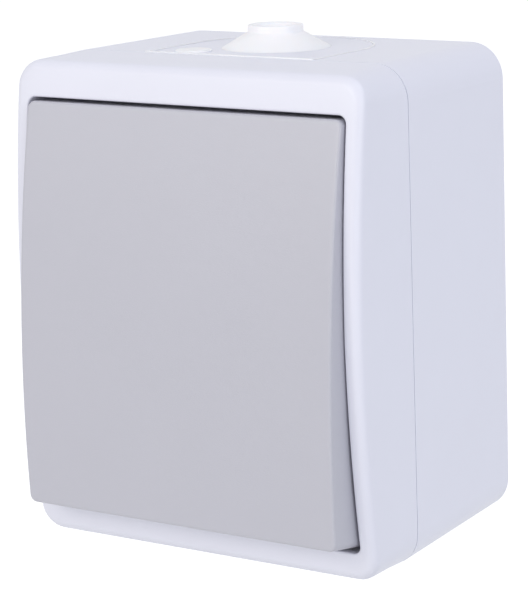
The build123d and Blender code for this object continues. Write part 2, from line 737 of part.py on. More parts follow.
def common_terminal():
    """The cradle that the see-saw stands on, folded from one strip that ends in its clamp."""
    riser_x = clamp_x - cage_length / 2 - side_cage_gap
    tongue_end = insert_width / 2 - insert_wall - strip_end_gap
    line = Polyline((-strip_width / 2, -(foot_depth + strip / 2)), (riser_x, -(foot_depth + strip / 2)),
                    (riser_x, -(strip_back + strip / 2)), (tongue_end, -(strip_back + strip / 2)))
    strap = extrude(Plane.XY * trace(line, line_width=strip), strip_width / 2, both=True)
    edge_depth = seesaw_depth - cradle_gap
    flank_depth = edge_depth - blade_bevel
    half = strip / 2
    edge = blade_edge / 2
    blade = Polyline((-foot_depth, -half), (-flank_depth, -half), (-edge_depth, -edge), (-edge_depth, edge),
                     (-flank_depth, half), (-foot_depth, half), close=True)
    strap += extrude(Plane.YZ * make_face(blade), strip_width / 2, both=True)
    return strap


def fixed_terminal(side):
    """A fixed contact's strip, above (1) or below (-1) the see-saw, which ends in its clamp."""
    z_from = contact_z - contact_diameter * 0.8
    z_to = insert_height / 2 - insert_wall - strip_end_gap
    low, high = sorted((side * z_from, side * z_to))
    bar = brick(-strip_width / 2, strip_width / 2, low, high, strip_back, strip_back + strip)
    hole = rod(rivet_shank + 2 * rivet_clearance, strip_back - cut_over, strip_back + strip + cut_over,
               0.0, side * contact_z)
    return bar - hole


def fixed_contacts():
    """The silver rivets on the two fixed strips."""
    rivets = []
    front = strip_back + strip
    for z in (-contact_z, contact_z):
        rivet = rod(contact_diameter + 4 * slip, front, front + contact_height, 0.0, z)
        rivet = fillet(rivet.edges().sort_by(Axis.Y)[0], contact_height / 3)
        rivets.append(rivet + rod(rivet_shank, strip_back, front, 0.0, z))
    return rivets


def at_clamps(shape):
    """The same piece at the upper, the lower and the common clamp."""
    turned_aside = shape.rotate(Axis.Y, 90)
    return [Pos(0, 0, clamp_z) * shape, Pos(0, 0, -clamp_z) * shape, Pos(clamp_x, 0, 0) * turned_aside]


def terminal_cages():
    """The brass boxes round the ends of the strips."""
    cage = brick(-cage_width / 2, cage_width / 2, -cage_length / 2, cage_length / 2, cage_back, cage_front)
    cage -= brick(-cage_width / 2 + cage_wall, cage_width / 2 - cage_wall, -cage_length, cage_length,
                  cage_back + cage_wall, cage_front - cage_wall)
    cage -= rod(terminal_shank + 2 * pivot_clearance, cage_front - 2 * cage_wall, cage_front + cut_over)
    return at_clamps(cage)


def clamp_plates():
    """The plates that the screws press on the wires."""
    half_width = cage_width / 2 - cage_wall - 2 * slip
    half_length = cage_length / 2 - 4 * slip
    plate = brick(-half_width, half_width, -half_length, half_length, clamp_back,
                  clamp_back + clamp_thickness)
    return at_clamps(plate)


def terminal_screws():
    """The screws of the three clamps."""
    tip = clamp_back + clamp_thickness
    seat = insert_front - terminal_head_height
    return at_clamps(screw(terminal_shank, terminal_head, terminal_head_height, seat, seat - tip, 0.0, 0.0))


nodes = {
    "base_housing": base_housing,
    "cover_frame": cover_frame,
    "case_gasket": case_gasket,
    "gland_plate": gland_plate,
    "cable_gland": cable_gland,
    "cover_screws": cover_screws,
    "rocker": rocker,
    "toggle": toggle,
    "plunger": plunger,
    "plunger_spring": plunger_spring,
    "rocker_seal": rocker_seal,
    "insert_body": insert_body,
    "insert_cover": insert_cover,
    "insert_screws": insert_screws,
    "contact_rocker": contact_rocker,
    "moving_contacts": moving_contacts,
    "common_terminal": common_terminal,
    "upper_terminal": lambda: fixed_terminal(1),
    "lower_terminal": lambda: fixed_terminal(-1),
    "fixed_contacts": fixed_contacts,
    "terminal_cages": terminal_cages,
    "clamp_plates": clamp_plates,
    "terminal_screws": terminal_screws,
}

os.makedirs("parts", exist_ok=True)
for name, make in nodes.items():
    made = make()
    solids = made if isinstance(made, list) else [made]
    export_step(Compound(children=solids) if len(solids) > 1 else solids[0], f"parts/{name}.step")
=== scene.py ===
# %% [markdown]
# # A splash proof light switch, dressed in Blender
# The switch has a white case of two halves, a large grey rocker and a soft white cable entry. The
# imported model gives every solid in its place, so this script only has to build the parts that show,
# give each surface its finish, and set up a plain studio. The lengths of a piece are typed in
# millimetres and turned into metres when it is finished. The studio is in metres.

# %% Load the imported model
from math import cos, pi, radians, sin, sqrt, tan

import bmesh
import bpy
from mathutils import Matrix, Vector


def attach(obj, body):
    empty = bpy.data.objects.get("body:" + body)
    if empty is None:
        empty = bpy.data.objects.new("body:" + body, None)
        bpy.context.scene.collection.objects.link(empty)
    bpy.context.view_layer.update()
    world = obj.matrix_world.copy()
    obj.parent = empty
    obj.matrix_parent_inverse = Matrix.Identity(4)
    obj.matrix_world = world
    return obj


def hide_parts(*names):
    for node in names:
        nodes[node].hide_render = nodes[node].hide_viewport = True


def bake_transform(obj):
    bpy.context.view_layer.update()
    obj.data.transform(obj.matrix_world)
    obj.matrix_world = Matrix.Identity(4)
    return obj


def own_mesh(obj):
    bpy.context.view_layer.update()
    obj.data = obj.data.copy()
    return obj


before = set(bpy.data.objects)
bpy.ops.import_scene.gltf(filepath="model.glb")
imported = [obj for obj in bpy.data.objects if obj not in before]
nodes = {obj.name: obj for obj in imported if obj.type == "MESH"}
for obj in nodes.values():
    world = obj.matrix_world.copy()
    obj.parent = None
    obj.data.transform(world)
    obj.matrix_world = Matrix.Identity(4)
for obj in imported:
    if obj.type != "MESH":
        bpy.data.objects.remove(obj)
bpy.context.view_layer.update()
MM = 0.001

# %% [markdown]
# ## The camera
# A long lens a little above and to the right of the switch. Its place was worked out from the straight
# edges of the case in the photograph. The matrix has the camera's right, up and backward directions as
# its columns, which says the same as three angles but can't be read in the wrong order.

# %% Camera
def new_object(name, data):
    """Makes an object of some data and puts it in the scene."""
    thing = bpy.data.objects.new(name, data)
    bpy.context.scene.collection.objects.link(thing)
    return thing


camera_azimuth = radians(33.42)
camera_height_angle = radians(12.819)
camera_roll = radians(-2.042)
camera_place = Vector((216.554, -351.271, 88.232)) * MM
backward = Vector((sin(camera_azimuth) * cos(camera_height_angle),
                   -cos(camera_azimuth) * cos(camera_height_angle), sin(camera_height_angle)))
level_right = Vector((cos(camera_azimuth), sin(camera_azimuth), 0))
level_up = backward.cross(level_right)
right = cos(camera_roll) * level_right + sin(camera_roll) * level_up
up = cos(camera_roll) * level_up - sin(camera_roll) * level_right

lens = bpy.data.cameras.new("camera")
lens.lens = 151.13
lens.sensor_width = 36
lens.clip_start = 0.01
camera = new_object("camera", lens)
facing = Matrix((right, up, backward)).transposed().to_4x4()
camera.matrix_world = Matrix.Translation(camera_place) @ facing
bpy.context.scene.camera = camera
print("camera at", [round(v, 3) for v in camera_place], "lens", lens.lens)

# %% [markdown]
# ## The studio
# The photograph is a cut-out on pure white, lit softly from the front, above and left. One large, warm
# softbox is the main light. Two smaller, cooler ones on the right and above lift the side and the top of
# the case, and a pale world fills the shadows. The world shows plain white where the camera, a reflection
# or a view through glass looks straight at it, so the light that the object gets can stay at a plain
# level. The Standard view leaves the colours as they are.

# %% World
def linked(tree, kind, **values):
    """Adds a node to a tree and sets its inputs by name: a socket of another node, or a value."""
    node = tree.nodes.new(kind)
    for name, value in values.items():
        socket = node.inputs[name.replace("_", " ")]
        if isinstance(value, bpy.types.NodeSocket):
            tree.links.new(value, socket)
        else:
            socket.default_value = value
    return node


def seen_directly(tree):
    """1 where the camera, a reflection or a view through glass meets the surface, otherwise 0."""
    path = tree.nodes.new("ShaderNodeLightPath")
    total = path.outputs["Is Camera Ray"]
    for name in ("Is Glossy Ray", "Is Transmission Ray"):
        adding = tree.nodes.new("ShaderNodeMath")
        adding.operation = "ADD"
        adding.use_clamp = True
        tree.links.new(total, adding.inputs[0])
        tree.links.new(path.outputs[name], adding.inputs[1])
        total = adding.outputs[0]
    return total


bpy.context.scene.view_settings.view_transform = "Standard"
world_light = 0.56
world = bpy.data.worlds.new("soft_white_room")
world.use_nodes = True
bpy.context.scene.world = world
tree = world.node_tree
tree.nodes.clear()
fill = linked(tree, "ShaderNodeBackground", Color=(0.91, 0.94, 1.0, 1), Strength=world_light)
white = linked(tree, "ShaderNodeBackground", Color=(1, 1, 1, 1), Strength=1.0)
mixed = tree.nodes.new("ShaderNodeMixShader")
tree.links.new(seen_directly(tree), mixed.inputs[0])
tree.links.new(fill.outputs[0], mixed.inputs[1])
tree.links.new(white.outputs[0], mixed.inputs[2])
linked(tree, "ShaderNodeOutputWorld", Surface=mixed.outputs[0])
print("world light", world_light)

# %% Floor
floor_level = -0.16
floor_size = 6.0
floor_tone = 0.7
floor_glow = 0.66
bm = bmesh.new()
bmesh.ops.create_grid(bm, x_segments=1, y_segments=1, size=floor_size / 2)
bmesh.ops.translate(bm, verts=bm.verts, vec=(0, 0, floor_level))
floor_mesh = bpy.data.meshes.new("floor")
bm.to_mesh(floor_mesh)
bm.free()
floor = new_object("floor", floor_mesh)
floor_finish = bpy.data.materials.new("floor_white")
floor_finish.use_nodes = True
tree = floor_finish.node_tree
shader = tree.nodes["Principled BSDF"]
shader.inputs["Base Color"].default_value = (floor_tone, floor_tone, floor_tone, 1)
shader.inputs["Roughness"].default_value = 0.9
shader.inputs["Emission Color"].default_value = (1, 1, 1, 1)
glow = tree.nodes.new("ShaderNodeMath")
glow.operation = "MULTIPLY"
glow.inputs[1].default_value = floor_glow
tree.links.new(seen_directly(tree), glow.inputs[0])
tree.links.new(glow.outputs[0], shader.inputs["Emission Strength"])
floor_mesh.materials.append(floor_finish)
print("floor at", floor_level)


# %% Lamps
middle = Vector((0, -0.025, 0))


def softbox(name, place, width, height, power, colour):
    """A rectangular lamp that faces the middle of the switch."""
    light = bpy.data.lights.new(name, "AREA")
    light.shape = "RECTANGLE"
    light.size = width
    light.size_y = height
    light.energy = power
    light.color = colour
    direction = middle - Vector(place)
    facing = direction.to_track_quat("-Z", "Y").to_matrix().to_4x4()
    new_object(name, light).matrix_world = Matrix.Translation(place) @ facing


softbox("key_softbox", (-0.3, -1.2, 0.5), 0.9, 0.7, power=7.1, colour=(1.0, 0.97, 0.915))
softbox("side_softbox", (0.91, -0.47, 0.2), 0.6, 0.6, power=2.3, colour=(0.92, 0.95, 1.0))
softbox("top_softbox", (0.6, 0.15, 0.92), 0.6, 0.6, power=2.3, colour=(0.92, 0.94, 1.0))

# %% [markdown]
# ## Shared effects
# Moulded plastic is never one flat tone. The mould's fine spark-eroded grain shows as tiny bumps, and
# the gloss changes a little where hands and tools have been. Both effects are node groups, built once
# and placed in each material with its own values.

# %% Node groups
def new_group(name, inputs, outputs):
    """An empty shader group with its sockets and the nodes for its ends."""
    group = bpy.data.node_groups.new(name, "ShaderNodeTree")
    for label, value in inputs.items():
        socket = group.interface.new_socket(label, in_out="INPUT", socket_type="NodeSocketFloat")
        socket.default_value = value
    for label, kind in outputs.items():
        group.interface.new_socket(label, in_out="OUTPUT", socket_type=kind)
    return group, group.nodes.new("NodeGroupInput"), group.nodes.new("NodeGroupOutput")


def scaled(tree, value, low, high):
    """Spreads a 0 to 1 value between two other values, each a number or a socket."""
    spread = tree.nodes.new("ShaderNodeMapRange")
    tree.links.new(value, spread.inputs["Value"])
    for name, end in (("To Min", low), ("To Max", high)):
        if isinstance(end, bpy.types.NodeSocket):
            tree.links.new(end, spread.inputs[name])
        else:
            spread.inputs[name].default_value = end
    return spread.outputs["Result"]


grain_height = 0.0001
moulded_grain, start, end = new_group("moulded_grain", {"Grain per metre": 9000.0, "Depth": 0.1},
                                      {"Normal": "NodeSocketVector"})
where = moulded_grain.nodes.new("ShaderNodeTexCoord")
pits = linked(moulded_grain, "ShaderNodeTexNoise", Vector=where.outputs["Object"],
              Scale=start.outputs["Grain per metre"], Detail=3.0, Roughness=0.6)
relief = linked(moulded_grain, "ShaderNodeBump", Strength=start.outputs["Depth"], Distance=grain_height,
                Height=pits.outputs["Fac"])
moulded_grain.links.new(relief.outputs["Normal"], end.inputs["Normal"])

handled_gloss, start, end = new_group("handled_gloss",
                                      {"Smooth": 0.35, "Dull": 0.45, "Patches per metre": 60.0},
                                      {"Roughness": "NodeSocketFloat", "Patch": "NodeSocketFloat"})
where = handled_gloss.nodes.new("ShaderNodeTexCoord")
patches = linked(handled_gloss, "ShaderNodeTexNoise", Vector=where.outputs["Object"],
                 Scale=start.outputs["Patches per metre"], Detail=4.0)
gloss = scaled(handled_gloss, patches.outputs["Fac"], start.outputs["Smooth"], start.outputs["Dull"])
handled_gloss.links.new(gloss, end.inputs["Roughness"])
handled_gloss.links.new(patches.outputs["Fac"], end.inputs["Patch"])
print("groups", [g.name for g in bpy.data.node_groups])

# %% [markdown]
# ## The finishes
# All plastics share one recipe: a colour that drifts by a percent or two, the grain and the uneven
# gloss. The soft entry scatters light below its surface and has hardly any grain. The metal parts are
# drawn or stamped, so their gloss runs in fine lines.

# %% Materials and their tones
finishes = {}


def placed(tree, group, **values):
    """Places a shared effect in a material and sets its inputs."""
    node = tree.nodes.new("ShaderNodeGroup")
    node.node_tree = group
    for name, value in values.items():
        node.inputs[name.replace("_", " ")].default_value = value
    return node


def plain_material(name):
    """Makes a material, keeps it under the name of its slot and gives its tree and its shader."""
    finishes[name] = bpy.data.materials.new(name)
    finishes[name].use_nodes = True
    return finishes[name].node_tree, finishes[name].node_tree.nodes["Principled BSDF"]


def toned(tree, shader, mask, first, second):
    """Lets the base colour change from one tone to another as a mask says."""
    tones = tree.nodes.new("ShaderNodeMix")
    tones.data_type = "RGBA"
    tree.links.new(mask, tones.inputs["Factor"])
    tones.inputs["A"].default_value = (*first, 1)
    tones.inputs["B"].default_value = (*second, 1)
    tree.links.new(tones.outputs["Result"], shader.inputs["Base Color"])


print("effects to place", moulded_grain.name, handled_gloss.name)

# %% Plastic and rubber
clear_depth = (0.0012, 0.001, 0.0009)


def plastic(name, colour, drift=0.02, smooth=0.32, dull=0.42, depth=0.08, soft=0.0):
    """Moulded plastic or rubber in one colour."""
    tree, shader = plain_material(name)
    gloss = placed(tree, handled_gloss, Smooth=smooth, Dull=dull)
    tree.links.new(gloss.outputs["Roughness"], shader.inputs["Roughness"])
    relief = placed(tree, moulded_grain, Depth=depth)
    tree.links.new(relief.outputs["Normal"], shader.inputs["Normal"])
    toned(tree, shader, gloss.outputs["Patch"], [c * (1 - drift) for c in colour],
          [min(c * (1 + drift), 1) for c in colour])
    if soft:
        shader.inputs["Subsurface Weight"].default_value = soft
        shader.inputs["Subsurface Radius"].default_value = clear_depth
        shader.inputs["Subsurface Scale"].default_value = 1.0


for hard_white in ("case_white", "cover_white", "entry_plate_white"):
    plastic(hard_white, (0.78, 0.78, 0.87))
plastic("gland_soft_white", (0.92, 0.91, 0.94), soft=0.4, depth=0.02)
plastic("rocker_grey", (0.517, 0.512, 0.569), drift=0.015, smooth=0.27, dull=0.35, depth=0.3)
plastic("gasket_rubber", (0.12, 0.125, 0.13), smooth=0.6, dull=0.75)
plastic("seal_rubber", (0.045, 0.045, 0.048), smooth=0.55, dull=0.7)
plastic("toggle_grey", (0.3, 0.31, 0.32), smooth=0.4, dull=0.5)
plastic("plunger_white", (0.8, 0.8, 0.77), smooth=0.25, dull=0.35)
plastic("insert_plastic", (0.62, 0.62, 0.58), smooth=0.4, dull=0.5)
plastic("bridge_plastic", (0.68, 0.68, 0.64), smooth=0.4, dull=0.5)
print("plastics", sorted(finishes))


# %% Metals
lines_per_metre = 900.0
line_squeeze = (1.0, 1.0, 12.0)
darker_lines = 0.9
scratch_strength = 0.15
scratch_height = 0.00005


def metal(name, colour, smooth, dull):
    """Drawn or stamped metal, with fine lines that are squeezed together along one axis."""
    tree, shader = plain_material(name)
    where = tree.nodes.new("ShaderNodeTexCoord")
    squeezed = linked(tree, "ShaderNodeMapping", Vector=where.outputs["Object"], Scale=line_squeeze)
    lines = linked(tree, "ShaderNodeTexNoise", Vector=squeezed.outputs[0], Scale=lines_per_metre, Detail=4.0)
    tree.links.new(scaled(tree, lines.outputs["Fac"], smooth, dull), shader.inputs["Roughness"])
    toned(tree, shader, lines.outputs["Fac"], [c * darker_lines for c in colour], colour)
    scratches = linked(tree, "ShaderNodeBump", Strength=scratch_strength, Distance=scratch_height,
                       Height=lines.outputs["Fac"])
    tree.links.new(scratches.outputs["Normal"], shader.inputs["Normal"])
    shader.inputs["Metallic"].default_value = 1.0


metal("spring_steel", (0.62, 0.63, 0.65), smooth=0.2, dull=0.35)
metal("screw_steel", (0.7, 0.71, 0.74), smooth=0.22, dull=0.4)
metal("clamp_steel", (0.6, 0.61, 0.64), smooth=0.25, dull=0.42)
metal("contact_copper", (0.76, 0.42, 0.25), smooth=0.2, dull=0.38)
metal("terminal_brass", (0.76, 0.56, 0.26), smooth=0.2, dull=0.38)
metal("cage_brass", (0.7, 0.52, 0.27), smooth=0.24, dull=0.42)
metal("contact_silver", (0.8, 0.8, 0.78), smooth=0.15, dull=0.3)
for node in nodes.values():
    for holder in node.material_slots:
        holder.material = finishes[holder.material.name.split(".")[0]]
print("finishes", len(finishes))

# %% [markdown]
# ## Tools for the new pieces
# The cover, the rocker and the cable entry are modelled again here, with softer edges than the packed
# solids have. A shell like the cover's could be cut out of a block, but every cut leaves edges to clean
# up. It is easier to think of it as a chain of closed loops of edges, each bridged to the next. For that,
# all loops of a chain need the same number of points: each starts as one rectangular face whose corners
# are rounded by a bevel and whose long edges are cut, and then only its edges are kept.

# %% Loops of edges
corner_steps = 8
end_cuts = 9
side_cuts = 25


def rounded(bm, parts, radius, steps, kind="VERTICES"):
    """Rounds some corner points of a flat outline, or some edges of a body."""
    bmesh.ops.bevel(bm, geom=parts, offset=radius, offset_type="OFFSET", affect=kind, segments=steps,
                    profile=0.5, material=-1)


def outline_since(bm, earlier):
    """The edges that are newer than the earlier ones, without the one face that they were drawn as."""
    edges = [e for e in bm.edges if e not in earlier]
    bmesh.ops.delete(bm, geom=list(edges[0].link_faces), context="FACES_ONLY")
    return edges


def loop(bm, width, height, corner, depth, lower_corner=None):
    """An upright rectangle of edges with round corners, which may be tighter at its lower end."""
    earlier = set(bm.edges)
    corners = [bm.verts.new((side * width / 2, -depth, end * height / 2))
               for side, end in ((-1, -1), (1, -1), (1, 1), (-1, 1))]
    bm.faces.new(corners)
    for pair, radius in ((corners[:2], lower_corner or corner), (corners[2:], corner)):
        rounded(bm, pair, radius, corner_steps)
    longest = sorted((e for e in bm.edges if e not in earlier), key=lambda e: -e.calc_length())[:4]
    for edge in longest:
        first, second = edge.verts
        upright = abs(first.co.x - second.co.x) < abs(first.co.z - second.co.z)
        bmesh.ops.subdivide_edges(bm, edges=[edge], cuts=side_cuts if upright else end_cuts)
    return outline_since(bm, earlier)


def ring(bm, diameter, x, depth, z, steps, facing_up=False):
    """A circle of edges that faces the front, or faces up."""
    place = Matrix.Translation((x, -depth, z))
    if not facing_up:
        place = place @ Matrix.Rotation(pi / 2, 4, "X")
    points = set(bmesh.ops.create_circle(bm, segments=steps, radius=diameter / 2, matrix=place)["verts"])
    return [e for e in bm.edges if e.verts[0] in points]


print("edges in a loop", 4 * corner_steps + 2 * (end_cuts + 1) + 2 * (side_cuts + 1))


# %% Faces and bodies
weld = 0.0005


def points_of(edges):
    """The vertices of some edges, each once."""
    return list(dict.fromkeys(v for e in edges for v in e.verts))


def bridged(bm, loops):
    """Joins each loop to the next one with a band of faces."""
    for first, second in zip(loops, loops[1:]):
        bmesh.ops.bridge_loops(bm, edges=first + second)


def filled(bm, *loops):
    """Fills a flat face whose outline is the first loop and whose holes are the others."""
    edges = [e for each in loops for e in each]
    bmesh.ops.triangle_fill(bm, use_beauty=True, use_dissolve=False, edges=edges)


def block(bm, size, middle):
    """Adds a cuboid round a point and gives its vertices."""
    corners = bmesh.ops.create_cube(bm, size=1)["verts"]
    bmesh.ops.scale(bm, vec=size, verts=corners)
    bmesh.ops.translate(bm, verts=corners, vec=middle)
    return corners


def outward(bm):
    """Merges points that lie together and turns all faces outwards."""
    bmesh.ops.remove_doubles(bm, verts=bm.verts, dist=weld)
    bmesh.ops.recalc_face_normals(bm, faces=bm.faces)


print("points closer than", weld, "mm are merged")


# %% Hand a finished piece to the frame
sharp_from = radians(32)


def finished(bm, name, body, slot, *replaced):
    """Makes the piece in metres, smooth but for its sharp edges, and hands it to the frame.

    A piece that bends between two bodies rides on none, so its body is None.
    """
    open_edges = sum(1 for edge in bm.edges if len(edge.link_faces) != 2)
    bmesh.ops.scale(bm, vec=(MM, MM, MM), verts=bm.verts)
    mesh = bpy.data.meshes.new(name)
    bm.to_mesh(mesh)
    bm.free()
    mesh.shade_smooth()
    mesh.set_sharp_from_angle(angle=sharp_from)
    mesh.materials.append(finishes[slot])
    piece = new_object(name, mesh)
    if body:
        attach(piece, body)
    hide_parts(*replaced)
    print(name, "faces", len(mesh.polygons), "open edges", open_edges)
    return piece


# %% [markdown]
# ## The cover
# The cover is the white frame round the rocker. Its front is part of a drum that lies level. Its side and
# upper walls lean in by a little over one degree, so that it comes out of the mould, and its lower wall
# by five. The corners get tighter towards the front, and the opening gets a little wider towards its
# lower end. The chain of loops starts inside, at the back of the well's floor, goes round the groove for
# the gasket, over the front and down into the well, and the two flat faces of the floor close it.

# %% Sizes of the cover
case_width = 64.0
case_height = 78.0
case_corner = 5.5
front_corner = 4.2
lower_corner = 3.9
seam = 31.0
cover_rear = 31.05
cover_crest = 46.3
cover_drum = 243.0
side_lean = tan(radians(1.3))
lower_lean = tan(radians(5.1))
opening = (58.0, 66.4, 1.3)
opening_drop = 0.1
opening_splay = 0.43
print("cover", case_width, case_height, "opening", opening[:2])


# %% Loops on the leaning walls and the curved front
def sag(radius, height):
    """How far a drum's face falls back at this height."""
    return radius - sqrt(radius * radius - height * height)


def leaned(edges):
    """Leans a loop of the seam's size in, as far as the case's walls do at its depth."""
    for vert in points_of(edges):
        rise = -vert.co.y - seam
        end_lean = side_lean if vert.co.z > 0 else lower_lean
        vert.co.x *= 1 - 2 * rise * side_lean / case_width
        vert.co.z *= 1 - 2 * rise * end_lean / case_height
    return edges


def crowned(edges, drop):
    """Puts a flat loop on the drum, or a distance below it."""
    for vert in points_of(edges):
        vert.co.y = -(cover_crest - sag(cover_drum, vert.co.z) - drop)
    return edges


def wall_loop(bm, depth):
    """A loop round the outer wall, with corners that get tighter towards the front."""
    share = (depth - cover_rear) / (cover_crest - cover_rear)
    upper, lower = [case_corner + share * (tight - case_corner) for tight in (front_corner, lower_corner)]
    return leaned(loop(bm, case_width, case_height, upper, depth, lower))


def front_loop(bm, inset, drop):
    """A loop near the front edge, inside the case's outline and below the drum."""
    edges = loop(bm, case_width - 2 * inset, case_height - 2 * inset, front_corner - inset, 0,
                 lower_corner - inset)
    return leaned(crowned(edges, drop))


def opening_loop(bm, outset, depth):
    """A flat loop round the opening, which sits a little low and gets wider towards its lower end."""
    edges = loop(bm, opening[0] + 2 * outset, opening[1] + 2 * outset, opening[2] + outset, depth)
    for vert in points_of(edges):
        if vert.co.z < 0:
            vert.co.x *= 1 - 4 * opening_splay * vert.co.z / (opening[0] * opening[1])
        vert.co.z -= opening_drop
    return edges


def lip_loop(bm, outset, drop):
    """A loop round the opening, on the drum or a distance below it."""
    return crowned(opening_loop(bm, outset, 0), drop)


print("the front falls back", round(sag(cover_drum, case_height / 2), 2), "mm at its ends")

# %% Chain of loops from the inside over the front
room = (60.0, 74.0, 3.5)
groove = (61.9, 75.9, 4.45)
groove_floor = 33.4
floor_back = 34.5
well_floor = 36.5
chamfer = 0.14
support = 0.25
middle_rise = 5.0
edge_round = 1.5
edge_steps = 8
lip = 0.35
lip_steps = 4


def quarter(steps):
    """The angles of a quarter turn in equal steps."""
    return [step / steps * pi / 2 for step in range(steps + 1)]


bm = bmesh.new()
inside = leaned(loop(bm, *room, floor_back))
chain = [inside, leaned(loop(bm, *room, groove_floor)), loop(bm, *groove, groove_floor),
         loop(bm, *groove, cover_rear),
         loop(bm, case_width - 2 * chamfer, case_height - 2 * chamfer, case_corner - chamfer, cover_rear)]
chain += [wall_loop(bm, cover_rear + rise) for rise in (chamfer, chamfer + support, middle_rise)]
chain.append(front_loop(bm, 0, edge_round + support))
chain += [front_loop(bm, edge_round * (1 - cos(bend)), edge_round * (1 - sin(bend)))
          for bend in quarter(edge_steps)]
chain.append(lip_loop(bm, lip + support / 2, 0))
chain += [lip_loop(bm, lip * (1 - sin(bend)), lip * (1 - cos(bend))) for bend in quarter(lip_steps)]
chain.append(lip_loop(bm, 0, lip + support))
well = opening_loop(bm, 0, well_floor)
chain.append(well)
bridged(bm, chain)
print("loops in the chain", len(chain))

# %% Floor of the well, with its window and two screw cups
window = (24.8, 22.8, 2.2)
cup_places = ((-21, 28.5), (21, -28.5))
cup_width = 5.8
cup_floor = 34.35
screw_hole = 3.4
cup_back = 32.85
boss_width = 7.8
window_loops = [loop(bm, *window, depth) for depth in (well_floor, floor_back)]
bridged(bm, window_loops)
cups = []
for x, z in cup_places:
    cup = [ring(bm, width, x, depth, z, steps=32) for width, depth in
           ((cup_width, well_floor), (cup_width, cup_floor), (screw_hole, cup_floor),
            (screw_hole, cup_back), (boss_width, cup_back), (boss_width, floor_back))]
    bridged(bm, cup)
    cups.append(cup)
filled(bm, well, window_loops[0], *[cup[0] for cup in cups])
filled(bm, inside, window_loops[1], *[cup[-1] for cup in cups])
outward(bm)
finished(bm, "cover_shell", "housing", "cover_white", "cover_frame")

# %% [markdown]
# ## The rocker
# The rocker is a shallow cap of thin plastic with a face that follows nearly the same drum as the cover.
# A grid gives it rows of points that can follow the curve. Its four corner points are bevelled round, its
# border is drawn back into a skirt that widens a little and falls a little at its lower end, the long
# edge gets a narrow round, and a wall thickness turns the skin into a solid. It is drawn level and turned
# at the end, because the top of the key is pressed in.

# %% Sizes of the rocker
rocker_width = 57.3
rocker_height = 64.2
rocker_aside = 0.12
rocker_corner = 1.2
rocker_crest = 49.6
rocker_drum = 235.0
skirt_end = 40.4
skirt_flare = 0.2
skirt_fall = 0.65
key_wall = 1.8
key_edge = 0.4
hinge = 39.5
rest_tilt = radians(-4.54)


def tilted(bm, points, share=1.0):
    """Turns some points about the rocker's hinge by a share of its tilt at rest."""
    bmesh.ops.rotate(bm, verts=points, cent=(0, -hinge, 0), matrix=Matrix.Rotation(rest_tilt * share, 3, "X"))


def parts_of(geometry, kind):
    """The vertices or the edges among the parts that an operator made."""
    return [part for part in geometry if isinstance(part, kind)]


print("rocker", rocker_width, rocker_height, "gap at each side", round((opening[0] - rocker_width) / 2, 2))

# %% Skin of the rocker
bm = bmesh.new()
bmesh.ops.create_grid(bm, x_segments=8, y_segments=26, size=0.5, matrix=Matrix.Rotation(pi / 2, 4, "X"))
bmesh.ops.scale(bm, vec=(rocker_width, 1, rocker_height), verts=bm.verts)
bmesh.ops.translate(bm, verts=bm.verts, vec=(rocker_aside, 0, 0))
rounded(bm, [v for v in bm.verts if len(v.link_edges) == 2], rocker_corner, steps=6)
bmesh.ops.inset_region(bm, faces=bm.faces, thickness=2 * key_edge, use_boundary=True, use_even_offset=True)
for vert in bm.verts:
    vert.co.y = -(rocker_crest - sag(rocker_drum, vert.co.z))
border = [e for e in bm.edges if e.is_boundary]
strip = bmesh.ops.extrude_edge_only(bm, edges=border)["geom"]
bmesh.ops.translate(bm, verts=parts_of(strip, bmesh.types.BMVert), vec=(0, 2 * key_edge, 0))
strip = bmesh.ops.extrude_edge_only(bm, edges=parts_of(strip, bmesh.types.BMEdge))["geom"]
for vert in parts_of(strip, bmesh.types.BMVert):
    vert.co.y = -skirt_end
    vert.co.x *= 1 + 2 * skirt_flare / rocker_width
    if vert.co.z < 0:
        vert.co.z *= 1 + 2 * skirt_fall / rocker_height
outward(bm)
rounded(bm, border, key_edge, steps=4, kind="EDGES")
bmesh.ops.solidify(bm, geom=bm.faces[:], thickness=key_wall)
print("skin faces", len(bm.faces))

# %% Ribs and sockets behind the rocker's face
rib = (0.9, 4.0, 55.0)
rib_aside = 15
rib_depth = 45.4
pegs = [(x, z) for x in (-5.5, 5.5) for z in (-4.5, 4.5)]
peg_hole = 2.5
socket_width = 4.4
socket_mouth = 44.82
socket_root = 48.1
for x in (-rib_aside, rib_aside):
    block(bm, rib, (x, -rib_depth, 0))
for x, z in pegs:
    bridged(bm, [ring(bm, width, x, depth, z, steps=24) for width, depth in
                 ((socket_width, socket_mouth), (socket_width, socket_root), (peg_hole, socket_root),
                  (peg_hole, socket_mouth), (socket_width, socket_mouth))])
# Faces aren't turned here, because that would turn the inner wall of the closed skin round
bmesh.ops.remove_doubles(bm, verts=bm.verts, dist=weld)
tilted(bm, bm.verts)
finished(bm, "rocker_cap", "rocker_key", "rocker_grey", "rocker")

# %% [markdown]
# ## The seal and the spring
# Two soft parts behind the rocker change shape when it is pressed. The seal is a rubber hat: its brim
# stays on the cover's floor and its head goes with the toggle, so its walls have to bend. More loops in
# the walls let them bend smoothly. The spring inside the toggle, which gets shorter when the plunger
# slides in, is a copy of the imported one, because its coils are right as they are.

# %% Sizes of the seal
skin = 0.8
brim = (31.0, 29.0, 3.8)
hat_foot = (26.4, 24.4)
hat_taper = (4.4, 6.4)
hat_corner = 3.0
seal_top = (21.2, 17.2, 2.6)
seal_head = 44.0
wall_shares = (0.1, 0.25, 0.4, 0.55, 0.7, 0.85, 0.95)


def turned(bm, edges, share=1.0):
    """Turns a loop as the toggle's head is turned, or by a share of that."""
    tilted(bm, points_of(edges), share)
    return edges


